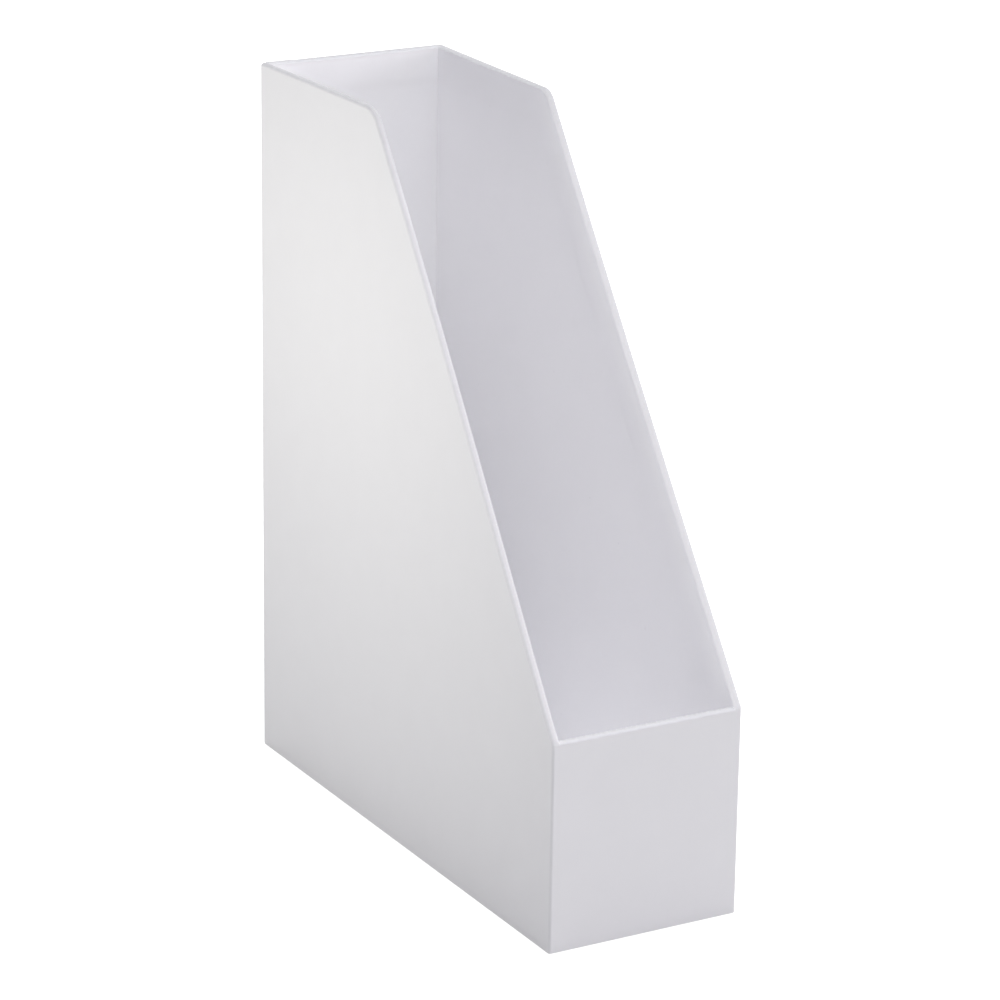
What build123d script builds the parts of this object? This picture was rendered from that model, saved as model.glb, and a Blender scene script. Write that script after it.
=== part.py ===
from build123d import *
from math import atan2, cos, tan
import os

# A magazine file: a rigid set-up box of greyboard with a low front, a tall back and a mouth
# that slants between them. White paper covers the outside, turns over the rim and under the
# base, and lines the inside. It is glued throughout, and nothing on it moves.
#
# Millimetres. X runs across the box from side to side, Y from the low front (-) to the tall
# back (+), and Z up. The origin is on the ground, under the middle of the box.

# Outside of the covered box
box_width = 89.0
box_depth = 259.0
box_height = 315.0  # at the back
lip_height = 91.0  # at the front
top_length = 99.5  # level top edge of a side, from the back
crest_radius = 11.0  # where the level edge turns down into the slope
corner_radius = 1.3  # upright corners, over the paper
rim_radius = 1.3  # both edges of the boards' rim, over the paper

# Thicknesses
board = 3.0  # greyboard
wrap_paper = 0.2
lining_paper = 0.2
base_paper = 0.2
tape = 0.1  # gummed kraft stays

# Laps and margins
turn_in = 15.0  # wrap folded over the rim and down the inside
turn_under = 15.0  # wrap folded beneath the base
stay_leg = 12.0  # each half of a stay, beside its corner
stay_gap = 1.0  # between the end of a stay and the next stay or the rim
lining_drop = 2.0  # from the rim to a lining's upper edge
lining_gap = 0.3  # between a lining's edge and the sheet beside it
cover_inset = 3.0  # from the outside of the box to the base cover's edge

# Distances from the origin's two upright planes to the faces of the walls, from outside in
half_width = box_width / 2
half_depth = box_depth / 2
board_x = half_width - wrap_paper
board_y = half_depth - wrap_paper
inside_x = board_x - board
inside_y = board_y - board
turned_x = inside_x - wrap_paper
turned_y = inside_y - wrap_paper
lined_x = turned_x - lining_paper
lined_y = turned_y - lining_paper

# Heights of the base board
board_bottom = base_paper + wrap_paper
floor_top = board_bottom + board

board_corner = corner_radius - wrap_paper
board_rim = rim_radius - wrap_paper
slope = atan2(box_height - lip_height, box_depth - top_length)

sides = (("left", -1), ("right", 1))
ends = (("front", -1, lip_height), ("back", 1, box_height))
boards = []
stays = []

os.makedirs("parts", exist_ok=True)


def side_area(plane, reach, bottom, drop):
    """Area of a side between two upright edges, with the rim lowered by drop, square to itself."""
    top = box_height - drop
    crest = half_depth - top_length + drop * tan(slope / 2)
    nose = lip_height - drop / cos(slope) + (half_depth - reach) * tan(slope)
    with BuildSketch(plane) as area:
        with BuildLine():
            Polyline((-reach, bottom), (reach, bottom), (reach, top), (crest, top), (-reach, nose), close=True)
        make_face()
        if crest_radius > drop:
            fillet(area.vertices().sort_by_distance((crest, top))[0], crest_radius - drop)
    return area.sketch


# Greyboard. The sides run the full depth and carry the slanted rim, the front and back
# stand between them, and the base lies inside all four. The upright corners and both edges of
# the rim are rounded, so that the paper folds over them without a crack.
for side, hand in sides:
    with BuildPart() as side_board:
        extrude(side_area(Plane.YZ.offset(hand * inside_x), board_y, board_bottom, wrap_paper), amount=hand * board)
        outward = Axis((0, 0, 0), (hand, 0, 0))
        fillet(side_board.edges().filter_by(Axis.Z).group_by(outward)[-1], board_corner)
        rim_faces = side_board.faces().filter_by(lambda face: face.normal_at().Z > 0.1)
        fillet(rim_faces.edges().filter_by(lambda edge: abs(edge.tangent_at(0.5).X) < 0.1), board_rim)
    side_board.part.label = f"{side}_side_board"
    export_step(side_board.part, f"parts/{side}_side_board.step")
    boards.append(side_board.part)

for end, way, rim in ends:
    with BuildPart() as end_board:
        with BuildSketch(Plane.XY.offset(board_bottom)):
            with Locations((0, way * (inside_y + board / 2))):
                Rectangle(2 * inside_x, board)
        extrude(amount=rim - wrap_paper - board_bottom)
        fillet(end_board.edges().group_by(Axis.Z)[-1].filter_by(Axis.X), board_rim)
    end_board.part.label = f"{end}_board"
    export_step(end_board.part, f"parts/{end}_board.step")
    boards.append(end_board.part)

with BuildPart() as base_board:
    with BuildSketch(Plane.XY.offset(board_bottom)):
        Rectangle(2 * inside_x, 2 * inside_y)
    extrude(amount=board)
base_board.part.label = "base_board"
export_step(base_board.part, "parts/base_board.step")
boards.append(base_board.part)

# Stays: gummed tape folded round the outside of each upright corner and each bottom edge.
corner_stay_bottom = board_bottom + stay_leg + stay_gap
for end, way, rim in ends:
    for side, hand in sides:
        with BuildPart() as corner_stay:
            with BuildSketch(Plane.XY.offset(corner_stay_bottom)):
                RectangleRounded(2 * (board_x + tape), 2 * (board_y + tape), board_corner + tape)
                RectangleRounded(2 * board_x, 2 * board_y, board_corner, mode=Mode.SUBTRACT)
                with Locations((hand * board_x, way * board_y)):
                    Rectangle(2 * stay_leg, 2 * stay_leg, mode=Mode.INTERSECT)
            extrude(amount=rim - wrap_paper - stay_gap - corner_stay_bottom)
        corner_stay.part.label = f"{end}_{side}_stay"
        export_step(corner_stay.part, f"parts/{end}_{side}_stay.step")
        stays.append(corner_stay.part)

# The two long ones run from corner to corner, and the two short ones fit between their legs.
long_reach = board_y - board_corner
short_reach = board_x - stay_leg - stay_gap
base_edges = (
    ("left", Plane.XZ, -1, board_x, long_reach),
    ("right", Plane.XZ, 1, board_x, long_reach),
    ("front", Plane.YZ, -1, board_y, short_reach),
    ("back", Plane.YZ, 1, board_y, short_reach),
)
for edge, plane, way, wall, reach in base_edges:
    inward = Align.MAX if way > 0 else Align.MIN
    with BuildPart() as base_stay:
        with BuildSketch(plane):
            with Locations((way * (wall + tape), board_bottom - tape)):
                Rectangle(stay_leg + tape, stay_leg + tape, align=(inward, Align.MIN))
            with Locations((way * wall, board_bottom)):
                Rectangle(stay_leg, stay_leg, align=(inward, Align.MIN), mode=Mode.SUBTRACT)
        extrude(amount=reach, both=True)
    base_stay.part.label = f"{edge}_base_stay"
    export_step(base_stay.part, f"parts/{edge}_base_stay.step")
    stays.append(base_stay.part)

# Outer wrap: the box's outside form, hollowed to leave the sheet that covers the walls, folds
# over the rim and turns under the base. It presses thinner over the stays.
with BuildPart() as outer_wrap:
    with BuildSketch(Plane.XY.offset(base_paper)):
        RectangleRounded(box_width, box_depth, corner_radius)
    extrude(amount=box_height - base_paper)
    extrude(side_area(Plane.YZ, half_depth, 0, 0), amount=half_width, both=True, mode=Mode.INTERSECT)
    # the space between the walls, and over the level front lip
    with BuildSketch(Plane.XY.offset(board_bottom)):
        Rectangle(2 * turned_x, 2 * turned_y)
    extrude(amount=box_height, mode=Mode.SUBTRACT)
    with BuildSketch(Plane.XY.offset(lip_height)):
        with Locations((0, -half_depth / 2)):
            Rectangle(2 * turned_x, half_depth)
    extrude(amount=box_height, mode=Mode.SUBTRACT)
    # the window inside the turned-under edge
    with BuildSketch(Plane.XY.offset(base_paper)):
        Rectangle(box_width - 2 * turn_under, box_depth - 2 * turn_under)
    extrude(amount=wrap_paper, mode=Mode.SUBTRACT)
    # the inner faces of the walls, bare below the turned-in edge
    for side, hand in sides:
        bare = side_area(Plane.YZ.offset(hand * turned_x), inside_y, board_bottom, turn_in)
        extrude(bare, amount=hand * wrap_paper, mode=Mode.SUBTRACT)
    for end, way, rim in ends:
        with BuildSketch(Plane.XY.offset(board_bottom)):
            with Locations((0, way * (turned_y + wrap_paper / 2))):
                Rectangle(2 * inside_x, wrap_paper)
        extrude(amount=rim - turn_in - board_bottom, mode=Mode.SUBTRACT)
    for covered in boards + stays:
        add(covered, mode=Mode.SUBTRACT)
outer_wrap.part.label = "outer_wrap"
export_step(outer_wrap.part, "parts/outer_wrap.step")

# Linings: each sheet lies on the turned-in paper near the rim, and steps down on to the bare
# board below it. Every step is how far its edge is below the rim, its thickness and its mode.
lining_steps = (
    (lining_drop, lining_paper, Mode.ADD),
    (turn_in, lining_paper + wrap_paper, Mode.ADD),
    (turn_in + lining_paper, wrap_paper, Mode.SUBTRACT),
)
for side, hand in sides:
    with BuildPart() as side_lining:
        for drop, thickness, mode in lining_steps:
            sheet = side_area(Plane.YZ.offset(hand * lined_x), turned_y - lining_gap, floor_top, drop)
            extrude(sheet, amount=hand * thickness, mode=mode)
    side_lining.part.label = f"{side}_lining"
    export_step(side_lining.part, f"parts/{side}_lining.step")

for end, way, rim in ends:
    with BuildPart() as end_lining:
        for drop, thickness, mode in lining_steps:
            with BuildSketch(Plane.XZ.offset(-way * lined_y)):
                with Locations((0, floor_top)):
                    Rectangle(
                        2 * (lined_x - lining_gap), rim - drop - floor_top, align=(Align.CENTER, Align.MIN)
                    )
            extrude(amount=-way * thickness, mode=mode)
    end_lining.part.label = f"{end}_lining"
    export_step(end_lining.part, f"parts/{end}_lining.step")

with BuildPart() as base_lining:
    with BuildSketch(Plane.XY.offset(floor_top)):
        Rectangle(
            2 * (inside_x - lining_paper - lining_gap), 2 * (inside_y - lining_paper - lining_gap)
        )
    extrude(amount=lining_paper)
base_lining.part.label = "base_lining"
export_step(base_lining.part, "parts/base_lining.step")

# Base cover: pasted over the turned-under edge, and pressed up on to the bare board inside it.
with BuildPart() as base_cover:
    with BuildSketch():
        Rectangle(box_width - 2 * cover_inset, box_depth - 2 * cover_inset)
    extrude(amount=base_paper)
    with BuildSketch():
        Rectangle(box_width - 2 * turn_under, box_depth - 2 * turn_under)
    extrude(amount=base_paper + wrap_paper)
    with BuildSketch():
        Rectangle(box_width - 2 * (turn_under + base_paper), box_depth - 2 * (turn_under + base_paper))
    extrude(amount=wrap_paper, mode=Mode.SUBTRACT)
base_cover.part.label = "base_cover"
export_step(base_cover.part, "parts/base_cover.step")
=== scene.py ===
import math

import bmesh
import bpy
from mathutils import Matrix, Vector


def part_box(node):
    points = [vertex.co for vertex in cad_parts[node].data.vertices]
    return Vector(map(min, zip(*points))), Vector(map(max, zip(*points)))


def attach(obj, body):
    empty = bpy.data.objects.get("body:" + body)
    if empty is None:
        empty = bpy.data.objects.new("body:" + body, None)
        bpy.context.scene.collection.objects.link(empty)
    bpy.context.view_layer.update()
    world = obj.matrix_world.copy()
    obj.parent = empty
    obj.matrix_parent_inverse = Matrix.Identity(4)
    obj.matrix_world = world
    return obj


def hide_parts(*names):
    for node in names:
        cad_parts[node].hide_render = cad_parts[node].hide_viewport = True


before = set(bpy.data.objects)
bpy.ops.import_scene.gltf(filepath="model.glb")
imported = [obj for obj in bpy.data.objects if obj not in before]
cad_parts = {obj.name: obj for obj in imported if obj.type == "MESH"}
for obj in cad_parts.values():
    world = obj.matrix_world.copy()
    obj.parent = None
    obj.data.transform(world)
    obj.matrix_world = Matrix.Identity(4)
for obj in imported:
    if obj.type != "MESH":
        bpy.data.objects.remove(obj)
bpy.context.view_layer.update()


# ---- Greyboard ----
# Five panels of solid grey board, made from pulped waste paper, are guillotined and glued edge
# to face into an open box. Paper covers them all over, so none of them shows.

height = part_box("outer_wrap")[1].z
inside_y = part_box("base_board")[1].y
side_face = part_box("right_side_board")[1].x
board_grey = (0.27, 0.26, 0.24, 1)
board_fleck_light = (0.46, 0.44, 0.40, 1)
board_fleck_dark = (0.14, 0.13, 0.12, 1)

# The sides have pulled in a little along their free edge, as lined board does when it dries.
pull_in_left = 0.0024
pull_in_right = 0.0014
still_below = 0.015  # the base holds them straight up to here

crosscut_spacing = 0.013
same_place = 1e-6  # points nearer than this are one
on_plane = 1e-7
same_plane = math.radians(0.5)
smooth_angle = math.radians(38)


class Socket:
    """One output of a material's nodes. + and * with it add Math nodes, and node() adds any other."""

    def __init__(self, tree, output=None):
        self.tree = tree
        self.output = output

    def node(self, kind, settings=None, sockets=None, output=0):
        made = self.tree.nodes.new(kind)
        for name, value in (settings or {}).items():
            setattr(made, name, value)
        for name, value in (sockets or {}).items():
            if isinstance(value, Socket):
                self.tree.links.new(value.output, made.inputs[name])
            else:
                made.inputs[name].default_value = value
        return Socket(self.tree, made.outputs[output] if made.outputs else None)

    def combine(self, operation, other):
        return self.node("ShaderNodeMath", {"operation": operation}, {0: self, 1: other})

    def __add__(self, other):
        return self.combine("ADD", other)

    __radd__ = __add__

    def __mul__(self, other):
        return self.combine("MULTIPLY", other)

    def noise(self, scale, detail=2, roughness=0.5):
        sockets = {"Vector": self, "Scale": scale, "Detail": detail, "Roughness": roughness}
        return self.node("ShaderNodeTexNoise", {}, sockets)

    def stretch(self, across, along, up):
        return self.node("ShaderNodeMapping", {}, {"Vector": self, "Scale": (across, along, up)})

    def between(self, low, high):
        return self.node("ShaderNodeMapRange", {}, {"Value": self, "From Min": low, "From Max": high})

    def tint(self, first, second):
        """A colour that goes from the first, where this is 0, to the second, where it is 1."""
        return self.node("ShaderNodeMix", {"data_type": "RGBA"}, {0: self, 6: first, 7: second}, 2)

    def bump(self, depth, below=None):
        """Raised by depth metres where this is 1. Below is a coarser bump that this one rides on."""
        sockets = {"Height": self, "Distance": depth}
        if below:
            sockets["Normal"] = below
        return self.node("ShaderNodeBump", {}, sockets)


def start_material(name):
    """A new material, with its place on the piece as a socket to begin from."""
    material = bpy.data.materials.new(name)
    material.use_nodes = True
    material.node_tree.nodes.clear()
    place = Socket(material.node_tree).node("ShaderNodeTexCoord", output="Object")
    return material, place


def surface(place, **sockets):
    """Ends a material with its shader."""
    names = {name.replace("_", " ").title(): value for name, value in sockets.items()}
    shader = place.node("ShaderNodeBsdfPrincipled", {}, names)
    place.node("ShaderNodeOutputMaterial", {}, {"Surface": shader})


def make_greyboard():
    material, place = start_material("greyboard")
    plies = place.stretch(1, 1, 6).noise(90, 3)
    pulp = place.noise(700, 4, 0.7)
    flecks = place.noise(1500, 2).between(0.62, 0.72)
    specks = place.noise(1100, 1).between(0.66, 0.70)
    colour = (plies * 0.5 + pulp * 0.5).tint(board_fleck_dark, board_grey)
    colour = flecks.tint(colour, board_fleck_light)
    colour = specks.tint(colour, board_fleck_dark)
    surface(
        place,
        base_color=colour,
        roughness=0.86 + pulp * 0.08,
        normal=pulp.bump(0.00012, plies.bump(0.0001)),
    )
    return material


def copy_node(name):
    """A copy of a CAD piece, with its loose triangles merged back into whole faces."""
    bm = bmesh.new()
    bm.from_mesh(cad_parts[name].data)
    bmesh.ops.remove_doubles(bm, verts=bm.verts[:], dist=same_place)
    bmesh.ops.dissolve_limit(bm, angle_limit=same_plane, verts=bm.verts[:], edges=bm.edges[:])
    return bm


def around(faces):
    """Faces with their edges and vertices."""
    found = dict.fromkeys(faces)
    for face in faces:
        found.update(dict.fromkeys(face.edges))
        found.update(dict.fromkeys(face.verts))
    return list(found)


def cut(bm, faces, point, normal):
    """Cuts the faces along a plane, and returns them with the new ones."""
    made = bmesh.ops.bisect_plane(
        bm, geom=around(faces), dist=on_plane, plane_co=point, plane_no=normal
    )
    return [item for item in made["geom"] if isinstance(item, bmesh.types.BMFace)]


def crosscut(bm):
    """Cuts all round the depth and the height, evenly, so that the piece can bend."""
    for axis in (1, 2):
        start = min(v.co[axis] for v in bm.verts)
        length = max(v.co[axis] for v in bm.verts) - start
        count = max(1, round(length / crosscut_spacing))
        normal = Vector((0, 0, 0))
        normal[axis] = 1
        for step in range(1, count):
            cut(bm, bm.faces[:], normal * (start + length * step / count), normal)


def share(value):
    """The value, kept between 0 and 1."""
    return min(max(value, 0), 1)


def soft(value):
    """A smooth rise from 0 to 1, while the value goes from 0 to 1."""
    return share(value) ** 2 * (3 - 2 * share(value))


def pull(bm):
    """Bends a piece inwards with the side it belongs to, most halfway along and at the top."""
    for v in bm.verts:
        along = share((inside_y - v.co.y) / (2 * inside_y))
        up = share((v.co.z - still_below) / (height - still_below))
        bow = 4 * along * (1 - along) * up * (2 - up)
        pull_in = pull_in_left if v.co.x < 0 else pull_in_right
        v.co.x -= pull_in * bow * min(max(v.co.x / side_face, -1), 1)


def finish_piece(name, bm, material, stands_for, thickness=0):
    """Turns a bmesh into a piece that rides with the box, and shades its bends smoothly."""
    mesh = bpy.data.meshes.new(name)
    bm.to_mesh(mesh)
    bm.free()
    mesh.shade_smooth()
    mesh.set_sharp_from_angle(angle=smooth_angle)
    mesh.materials.append(material)
    piece = bpy.data.objects.new(name, mesh)
    bpy.context.scene.collection.objects.link(piece)
    if thickness:
        paper = piece.modifiers.new("paper", "SOLIDIFY")
        paper.thickness = thickness
        paper.offset = -1
        paper.use_even_offset = True
    shading = piece.modifiers.new("shading", "WEIGHTED_NORMAL")
    shading.keep_sharp = True
    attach(piece, "root")
    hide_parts(stands_for)


greyboard = make_greyboard()
for side in ("left", "right"):
    bm = copy_node(f"{side}_side_board")
    crosscut(bm)
    pull(bm)
    finish_piece(f"{side}_panel", bm, greyboard, f"{side}_side_board")
for board in ("front_board", "back_board", "base_board"):
    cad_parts[board].material_slots[0].material = greyboard


# ---- Stays ----
# Gummed brown kraft tape, wetted and folded round each corner and bottom edge of the boards. It
# holds the box square while the glue sets, and the cover paper then hides it.

kraft_dark = (0.30, 0.17, 0.08, 1)
kraft_light = (0.47, 0.30, 0.16, 1)


def make_kraft_tape():
    material, place = start_material("kraft_tape")
    streaks = place.stretch(1, 1, 0.08).noise(900, 3, 0.6)
    clouds = place.noise(120, 2)
    surface(
        place,
        base_color=(streaks * 0.6 + clouds * 0.4).tint(kraft_dark, kraft_light),
        roughness=0.62 + streaks * 0.14,
        normal=streaks.bump(0.00004),
    )
    return material


kraft_tape = make_kraft_tape()
for end in ("front", "back"):
    for side in ("left", "right"):
        bm = copy_node(f"{end}_{side}_stay")
        crosscut(bm)
        pull(bm)
        finish_piece(f"{end}_{side}_tape", bm, kraft_tape, f"{end}_{side}_stay")
for edge in ("left", "right", "front", "back"):
    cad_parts[f"{edge}_base_stay"].material_slots[0].material = kraft_tape


# ---- Outer wrap ----
# One strip of smooth white paper, laminated satin, goes round the four walls. It is folded over
# the rim and down the inside, turned under the base, and its end laps over its start on the back.

half_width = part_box("outer_wrap")[1].x
half_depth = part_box("outer_wrap")[1].y
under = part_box("outer_wrap")[0].z
wrap_paper = half_width - side_face
turned_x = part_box("back_board")[1].x - wrap_paper
turned_y = inside_y - wrap_paper
floor_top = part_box("base_board")[1].z
lip_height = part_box("front_board")[1].z + wrap_paper
top_length = 0.0995
crest = half_depth - top_length
slope = math.atan2(height - lip_height, half_depth + crest)
crest_radius_left = 0.011
crest_radius_right = 0.0075
fold_angle = math.radians(25)  # edges sharper than this are folds
fold_radius = 0.0013
bottom_radius = 0.0003
square_on = 0.99  # the least part of a normal along an axis, for a face that is square to it
hair = 1e-5  # an allowance, for faces that lie on a plane
turn_in = 0.015
turn_under = 0.015
lap_start = -half_width + 0.0025
lap_end = -half_width + 0.015
lap_edge = 0.00003  # how abruptly its end rises
lap_ease = 0.0012  # how softly it falls again
lap_low = 0.001  # it starts to rise here, above the ground
lap_high = 0.003
# Painted shade on the wrap: its upward rim faces, most near the top, and a thin band along its
# rounded folds are painted grey.
corner_painted_shade = 0.15
rim_painted_shade = 0.70
top_painted_shade = 0.25  # more painted shade, on upward faces near the top
top_reach = 0.03
end_wall_inset = 0.0001  # faces this far in from the sides belong to the front or the back

cover_white = (0.735, 0.73, 0.75, 1)
cover_shade = (0.715, 0.71, 0.73, 1)
# Painted light: the wrap's faces inside the box are painted whiter than its outside.
inside_painted_light_white = (0.93, 0.925, 0.94, 1)
# The grey of the painted shade on the rim tops and folds.
painted_shade_grey = (0.36, 0.355, 0.37, 1)


def extrude_up(bm, faces, distance):
    """Raises faces as one block, and returns its top faces."""
    made = bmesh.ops.extrude_face_region(bm, geom=around(faces))["geom"]
    points = [item for item in made if isinstance(item, bmesh.types.BMVert)]
    bmesh.ops.translate(bm, vec=(0, 0, distance), verts=points)
    return [item for item in made if isinstance(item, bmesh.types.BMFace)]


def round_edges(bm, edges, radius, segments):
    """Rolls edges over, to that distance from each of them."""
    bmesh.ops.bevel(
        bm,
        geom=edges,
        offset=radius,
        offset_type="OFFSET",
        segments=segments,
        profile=0.5,
        affect="EDGES",
        material=-1,
        clamp_overlap=False,
    )


def make_nine_fields(outer, inner, level):
    """A flat rectangle, divided into nine by lines that run inside its edges."""
    bm = bmesh.new()
    bmesh.ops.create_grid(bm, x_segments=3, y_segments=3, size=1)
    for v in bm.verts:
        x, y = (outer[i] if abs(v.co[i]) > 0.5 else inner[i] for i in range(2))
        v.co = (math.copysign(x, v.co.x), math.copysign(y, v.co.y), level)
    return bm


def middle_field(faces):
    """The one of them that is nearest the middle of the box."""
    return min(faces, key=lambda face: face.calc_center_median().xy.length)


def make_covered_form():
    """The outside form of the covered box: a block with the walls raised on it, all folds square."""
    bm = make_nine_fields((half_width, half_depth), (turned_x, turned_y), under)
    slab = extrude_up(bm, bm.faces[:], floor_top - under)
    middle = middle_field(slab)
    ring = extrude_up(bm, [face for face in slab if face != middle], lip_height - floor_top)
    lip = min(ring, key=lambda face: face.calc_center_median().y + abs(face.calc_center_median().x))
    tall = extrude_up(bm, [face for face in ring if face != lip], height - lip_height)
    sides = [face for face in tall if abs(face.calc_center_median().x) > turned_x]
    cut(bm, sides, (0, crest, 0), (0, 1, 0))
    for v in bm.verts:
        if v.co.z > lip_height + same_place:
            v.co.z = min(height, lip_height + (v.co.y + half_depth) * math.tan(slope))
    bmesh.ops.remove_doubles(bm, verts=bm.verts[:], dist=same_place)
    bmesh.ops.dissolve_degenerate(bm, dist=same_place, edges=bm.edges[:])
    bmesh.ops.recalc_face_normals(bm, faces=bm.faces[:])
    return bm


def find_folds(bm):
    """Edges where the paper is folded outwards, and apart from them those round the bottom."""
    sharp = [e for e in bm.edges if e.calc_face_angle_signed() > fold_angle]
    bottom = [e for e in sharp if all(v.co.z < under + same_place for v in e.verts)]
    return [e for e in sharp if e not in bottom], bottom


def round_folds(bm):
    """Rounds the crests, then the corners and the rim at once, and last the tighter bottom edge."""
    for hand, radius in ((-1, crest_radius_left), (1, crest_radius_right)):
        peak = [v for v in bm.verts if v.co.x * hand > 0 and v.co.z > height - same_place]
        peak = [v for v in peak if abs(v.co.y - crest) < same_place]
        edge = [e for e in bm.edges if all(v in peak for v in e.verts)]
        round_edges(bm, edge, radius * math.tan(slope / 2), segments=12)
    folds, bottom = find_folds(bm)
    round_edges(bm, folds, fold_radius, segments=6)
    folds, bottom = find_folds(bm)
    round_edges(bm, bottom, bottom_radius, segments=3)


def cut_beside_rim(bm, faces, drop):
    """Cuts the faces along lines that run beside the rim of a side, at that depth below it."""
    halves = cut(bm, faces, (0, 0, height - drop), (0, 0, 1))
    nose = (0, -half_depth, lip_height - drop / math.cos(slope))
    cut(bm, halves, nose, (0, -math.sin(slope), math.cos(slope)))


def below_rim(y, z):
    """How far a point on a side is below its rim, square to it."""
    return min(height - z, (lip_height - z) * math.cos(slope) + (y + half_depth) * math.sin(slope))


def cut_away_hidden(bm):
    """Leaves the sheet alone: bare inside below the turned-in edge, and beneath inside its border."""
    reach_x = turned_x + hair
    reach_y = turned_y + hair
    facing = [f for f in bm.faces if abs(f.normal.x) > square_on]
    sides = [f for f in facing if abs(f.calc_center_median().x) < reach_x]
    cut_beside_rim(bm, sides, turn_in)
    for way, rim in ((-1, lip_height), (1, height)):
        facing = [f for f in bm.faces if f.normal.y * way < -square_on]
        wall = [f for f in facing if abs(f.calc_center_median().y) < reach_y]
        cut(bm, wall, (0, 0, rim - turn_in), (0, 0, 1))
    window_x = half_width - turn_under
    window_y = half_depth - turn_under
    for way in (-1, 1):
        cut(bm, [f for f in bm.faces if f.normal.z < -square_on], (way * window_x, 0, 0), (1, 0, 0))
        cut(bm, [f for f in bm.faces if f.normal.z < -square_on], (0, way * window_y, 0), (0, 1, 0))
    hidden = []
    for face in bm.faces:
        x, y, z = face.calc_center_median()
        if face.normal.z < -square_on:
            inner = abs(x) < window_x and abs(y) < window_y
        elif face.normal.z > square_on and z < floor_top + hair:
            inner = True
        elif abs(face.normal.x) > square_on and abs(x) < reach_x:
            inner = below_rim(y, z) > turn_in
        elif abs(face.normal.y) > square_on and abs(y) < reach_y:
            inner = z < (height if y > 0 else lip_height) - turn_in
        else:
            inner = False
        if inner:
            hidden.append(face)
    bmesh.ops.delete(bm, geom=hidden, context="FACES")


def lap_over(bm):
    """Raises the wrap by its own thickness where its end lies over its start, outside on the back."""
    for x in (lap_start, lap_start + lap_edge, lap_end - lap_ease, lap_end, lap_end + lap_ease):
        back = [f for f in bm.faces if f.calc_center_median().y > turned_y - hair]
        cut(bm, back, (x, 0, 0), (1, 0, 0))
    bm.normal_update()
    for v in bm.verts:
        if v.co.y > turned_y - hair and lap_start + hair < v.co.x < lap_end + lap_ease:
            end = soft((lap_end + lap_ease - v.co.x) / (2 * lap_ease))
            outside = share((v.co.y - turned_y) / fold_radius)
            off_ground = share((v.co.z - lap_low) / (lap_high - lap_low))
            v.co += v.normal * (wrap_paper * end * outside * off_ground)


def mark_painted_shade(bm):
    """Writes how much painted shade each face gets, most on upward faces near the top and in a thin
    band along the rounded folds, and whether it faces the inside, which is painted whiter.
    """
    wear_and_painted_shade = bm.faces.layers.float.new("wear_and_painted_shade")
    inside = bm.faces.layers.float.new("inside")
    bm.normal_update()
    for face in bm.faces:
        place = face.calc_center_median()
        outward = face.normal.x * math.copysign(1, place.x)
        round_corner = max(outward, 0) ** 2
        if abs(place.x) < turned_x - end_wall_inset:
            outward = face.normal.y * math.copysign(1, place.y)
        top = share((place.z - height + top_reach) / top_reach)
        rim = max(face.normal.z, 0) * (rim_painted_shade + top_painted_shade * top)
        face[wear_and_painted_shade] = share(rim + corner_painted_shade * 4 * round_corner * (1 - round_corner))
        face[inside] = max(-outward, 0)


def make_cover_paper():
    material, place = start_material("cover_paper")
    swell = place.noise(16, 2)
    clouds = place.noise(70, 3)
    felt = place.noise(1300, 3, 0.6)
    shade_patches = place.noise(420, 3, 0.65).between(0.4, 0.72)
    # Painted shade: the mask below greys the rim tops and folds, and also makes them rougher.
    wear_and_painted_shade = place.node("ShaderNodeAttribute", {"attribute_name": "wear_and_painted_shade"}, output="Fac")
    inside = place.node("ShaderNodeAttribute", {"attribute_name": "inside"}, output="Fac")
    shade_and_wear_mask = wear_and_painted_shade * (0.90 + shade_patches * 0.10)
    white = clouds.tint(cover_shade, cover_white)
    # Painted light: faces that face the inside of the box are painted whiter.
    white = inside.tint(white, inside_painted_light_white)
    surface(
        place,
        base_color=shade_and_wear_mask.tint(white, painted_shade_grey),
        roughness=0.36 + clouds * 0.06 + shade_and_wear_mask * 0.45,
        normal=felt.bump(0.000012, swell.bump(0.0006)),
    )
    return material


bm = make_covered_form()
round_folds(bm)
cut_away_hidden(bm)
crosscut(bm)
lap_over(bm)
mark_painted_shade(bm)
pull(bm)
finish_piece("cover_wrap", bm, make_cover_paper(), "outer_wrap", wrap_paper)


# ---- Linings ----
# Matte white paper, one sheet on each wall and one on the floor. Each is pasted over the raw edge
# of the turned-in wrap and rubbed down, so its own edge is thin and the step under it is soft.

lined_x = -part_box("left_lining")[1].x
lined_y = -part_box("front_lining")[1].y
lining_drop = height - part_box("back_lining")[1].z
lining_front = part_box("right_lining")[0].y
lining_paper = turned_x - lined_x
sheet_thickness = 0.00003  # as modelled, since only its face and its rubbed edge show
rubbed_edge = 0.003
edge_thinning = 0.85
step_width = 0.005
step_parts = 6

lining_white = (0.94, 0.935, 0.95, 1)
lining_shade = (0.91, 0.905, 0.925, 1)
lining_speck = (0.86, 0.85, 0.87, 1)


def make_lining_paper():
    material, place = start_material("lining_paper")
    clouds = place.noise(55, 3)
    fibres = place.stretch(1, 1, 0.3).noise(1600, 4, 0.65)
    specks = place.noise(260, 1).between(0.80, 0.84)
    white = (clouds * 0.7 + fibres * 0.3).tint(lining_shade, lining_white)
    surface(
        place,
        base_color=specks.tint(white, lining_speck),
        roughness=0.60 + fibres * 0.10,
        normal=fibres.bump(0.00003, clouds.bump(0.0001)),
    )
    return material


def step_down(drop):
    """How far behind its main face a lining lies, at that depth below the rim."""
    edge = share(1 - (drop - lining_drop) / rubbed_edge)
    step = soft((drop - turn_in) / step_width + 0.5)
    return lining_paper * edge_thinning * edge + wrap_paper * step


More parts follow.
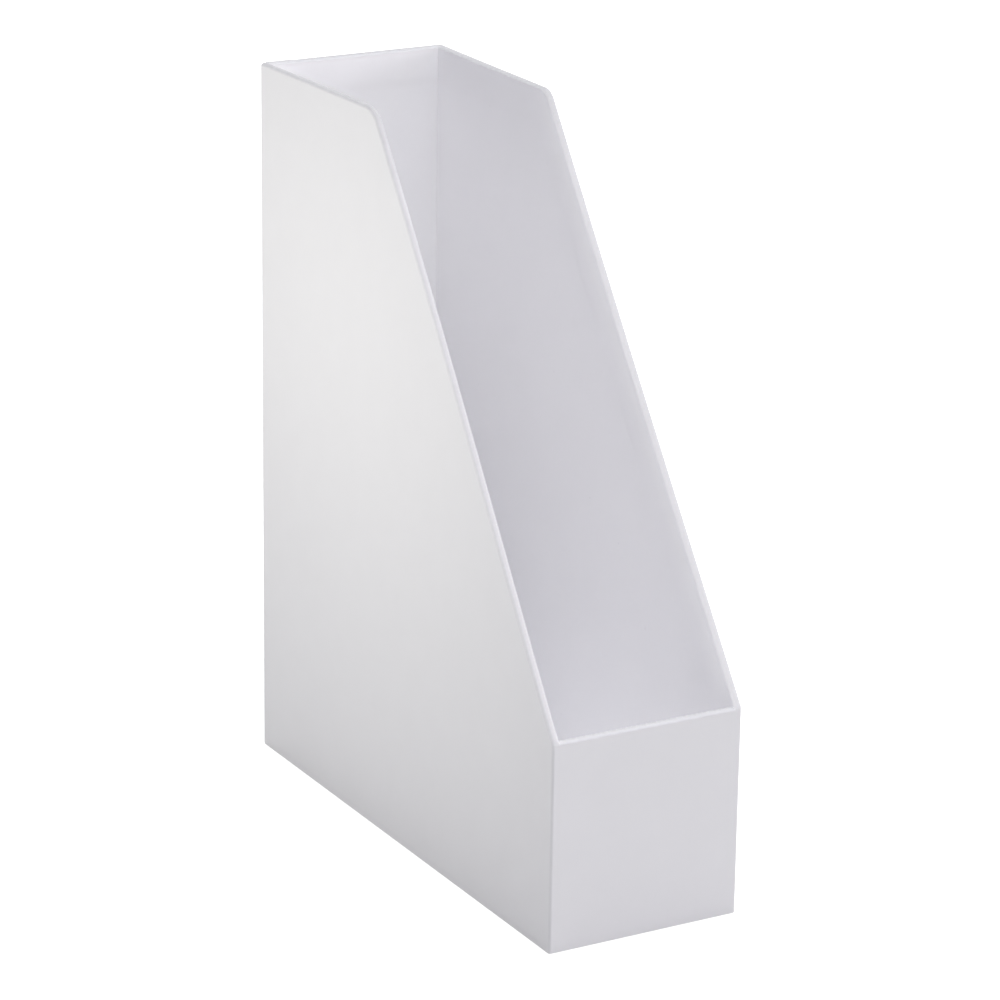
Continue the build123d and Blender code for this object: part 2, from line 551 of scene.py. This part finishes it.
def make_side_lining(hand, crest_radius):
    """A sheet with the side's own outline, lowered from the rim and stepped down on to the board."""
    bm = bmesh.new()
    peak = crest + lining_drop * math.tan(slope / 2)
    nose = lip_height - lining_drop / math.cos(slope) + (half_depth + lining_front) * math.tan(slope)
    outline = (
        (-inside_y, floor_top),
        (inside_y, floor_top),
        (inside_y, height - lining_drop),
        (peak, height - lining_drop),
        (lining_front, nose),
        (lining_front, lip_height - lining_drop),
        (-inside_y, lip_height - lining_drop),
    )
    points = [bm.verts.new((0, y, z)) for y, z in outline]
    bm.faces.new(points)
    reach = (crest_radius - lining_drop) * math.tan(slope / 2)
    bmesh.ops.bevel(
        bm, geom=[points[3]], offset=reach, segments=10, profile=0.5, affect="VERTICES", material=-1
    )
    for drop in step_lines:
        cut_beside_rim(bm, bm.faces[:], drop)
    crosscut(bm)
    for v in bm.verts:
        v.co.x = hand * (lined_x + step_down(below_rim(v.co.y, v.co.z)))
    if hand > 0:
        bmesh.ops.reverse_faces(bm, faces=bm.faces[:])
    return bm


def make_end_lining(way, rim):
    bm = bmesh.new()
    half_tall = (rim - lining_drop - floor_top) / 2
    bmesh.ops.create_grid(bm, x_segments=1, y_segments=1, size=1)
    for v in bm.verts:
        v.co = (v.co.x * turned_x, 0, floor_top + half_tall + v.co.y * half_tall)
    for drop in step_lines:
        cut(bm, bm.faces[:], (0, 0, rim - drop), (0, 0, 1))
    crosscut(bm)
    for v in bm.verts:
        v.co.y = way * (lined_y + step_down(rim - v.co.z))
    if way < 0:
        bmesh.ops.reverse_faces(bm, faces=bm.faces[:])
    return bm


step_lines = [lining_drop + rubbed_edge]
step_lines += [turn_in + step_width * (part / step_parts - 0.5) for part in range(step_parts + 1)]
lining_finish = make_lining_paper()
for side, hand, radius in (("left", -1, crest_radius_left), ("right", 1, crest_radius_right)):
    bm = make_side_lining(hand, radius)
    pull(bm)
    name = f"{side}_inside_sheet"
    finish_piece(name, bm, lining_finish, f"{side}_lining", sheet_thickness)
for end, way, rim in (("front", -1, lip_height), ("back", 1, height)):
    bm = make_end_lining(way, rim)
    pull(bm)
    name = f"{end}_inside_sheet"
    finish_piece(name, bm, lining_finish, f"{end}_lining", sheet_thickness)
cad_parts["base_lining"].material_slots[0].material = lining_finish


# ---- Base cover ----
# A sheet of plain white paper, a little smaller than the box, is pasted beneath it. It hides the
# turned-under edge of the wrap and the bare board inside that, and it rubs against the shelf.

under_white = (0.80, 0.795, 0.80, 1)
under_shade = (0.74, 0.735, 0.74, 1)


def make_base_sheet():
    material, place = start_material("base_sheet")
    clouds = place.noise(40, 3)
    fibres = place.stretch(1, 0.3, 1).noise(1500, 4, 0.65)
    wear_and_painted_shade = place.noise(90, 4, 0.7).between(0.5, 0.8)
    surface(
        place,
        base_color=(clouds * 0.5 + fibres * 0.3 + wear_and_painted_shade * 0.2).tint(under_white, under_shade),
        roughness=0.58 + wear_and_painted_shade * 0.12,
        normal=fibres.bump(0.00003),
    )
    return material


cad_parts["base_cover"].material_slots[0].material = make_base_sheet()


# ---- Studio ----
# A pale seamless floor under soft lights, and a camera with a long lens, left of the front. The
# floor is clear from beneath and open under the box, so that the underside can be looked at.

floor_reach = 6
floor_gap = 0.0002
hole_inset = 0.0004
floor_shade = (0.49, 0.49, 0.49, 1)
floor_grey = (0.51, 0.51, 0.51, 1)
floor_glow = 0.7  # seen by the camera alone, so that the floor looks white

hole_reach = (half_width - hole_inset, half_depth - hole_inset)
bm = make_nine_fields((floor_reach, floor_reach), hole_reach, -floor_gap)
bmesh.ops.delete(bm, geom=[middle_field(bm.faces)], context="FACES")
floor_mesh = bpy.data.meshes.new("floor")
bm.to_mesh(floor_mesh)
bm.free()
floor = bpy.data.objects.new("floor", floor_mesh)
bpy.context.scene.collection.objects.link(floor)

material, place = start_material("floor")
seen = place.node("ShaderNodeLightPath")
pale = place.noise(3, 2).tint(floor_shade, floor_grey)
matte = place.node("ShaderNodeBsdfDiffuse", {}, {"Color": pale})
glow = place.node("ShaderNodeEmission", {}, {"Color": (1, 1, 1, 1), "Strength": floor_glow})
lit = place.node("ShaderNodeAddShader", {}, {0: matte, 1: glow})
above = place.node("ShaderNodeMixShader", {}, {0: seen, 1: matte, 2: lit})
beneath = place.node("ShaderNodeNewGeometry", output="Backfacing")
clear = place.node("ShaderNodeBsdfTransparent")
both = place.node("ShaderNodeMixShader", {}, {0: beneath, 1: above, 2: clear})
place.node("ShaderNodeOutputMaterial", {}, {"Surface": both})
floor_mesh.materials.append(material)

# Each soft sun: its bearing from the front (to the right is +), its height and its spread, all in
# degrees, then its colour and strength.
suns = (
    ("above", 0, 84, 45, (0.95, 0.96, 1.00), 2.50),
    ("behind", 160, 50, 40, (0.98, 1.00, 0.90), 1.38),
    ("low_right", 60, 12, 25, (1.00, 0.97, 1.00), 0.78),
    ("front_left", -30, 50, 30, (1.00, 1.00, 0.93), 0.50),
    ("front_right", 40, 35, 35, (1.00, 0.97, 0.90), 0.29),
    ("beneath", 0, -80, 60, (1.00, 1.00, 1.00), 1.60),
)
for name, bearing, rise, spread, colour, strength in suns:
    light = bpy.data.lights.new(name, "SUN")
    light.angle = math.radians(spread)
    light.color = colour
    light.energy = strength
    lamp = bpy.data.objects.new(name, light)
    lamp.rotation_euler = (math.radians(90 - rise), 0, math.radians(bearing))
    bpy.context.scene.collection.objects.link(lamp)

# A bright strip panel, low beside the left wall.
strip = bpy.data.lights.new("left_strip", "AREA")
strip.shape = "RECTANGLE"
strip.size = 0.25
strip.size_y = 0.05
strip.color = (1.00, 0.99, 0.89)
strip.energy = 0.375
lamp = bpy.data.objects.new("left_strip", strip)
lamp.location = (-0.30, 0.06, 0.24)
lamp.rotation_euler = (math.radians(90), 0, math.radians(-90))
lamp.visible_camera = False
bpy.context.scene.collection.objects.link(lamp)

# The room's pale walls light the box dimly, and behind it the camera sees plain white.
world = bpy.data.worlds.new("studio")
world.use_nodes = True
world.node_tree.nodes.clear()
room = Socket(world.node_tree)
seen = room.node("ShaderNodeLightPath")
backdrop = room.node("ShaderNodeBackground", {}, {"Color": (1, 1, 1, 1), "Strength": 1})
walls = room.node("ShaderNodeBackground", {}, {"Color": (0.90, 0.885, 1.0, 1), "Strength": 0.32})
both = room.node("ShaderNodeMixShader", {}, {0: seen, 1: walls, 2: backdrop})
room.node("ShaderNodeOutputWorld", {}, {"Surface": both})
bpy.context.scene.world = world
bpy.context.scene.view_settings.view_transform = "Standard"

# The camera stands 1.7 m away from the middle of the box.
focal_length = 148.25
aim = Vector((0, -0.0065, 0.1500))
distance = 1.7341
azimuth = math.radians(-29.69)
elevation = math.radians(18.37)
roll = math.radians(0.81)
lens = bpy.data.cameras.new("camera")
lens.lens = focal_length
camera = bpy.data.objects.new("camera", lens)
turn = Matrix.Rotation(azimuth, 4, "Z") @ Matrix.Rotation(math.pi / 2 - elevation, 4, "X")
back_off = Matrix.Rotation(roll, 4, "Z") @ Matrix.Translation((0, 0, distance))
camera.matrix_world = Matrix.Translation(aim) @ turn @ back_off
bpy.context.scene.collection.objects.link(camera)
bpy.context.scene.camera = camera
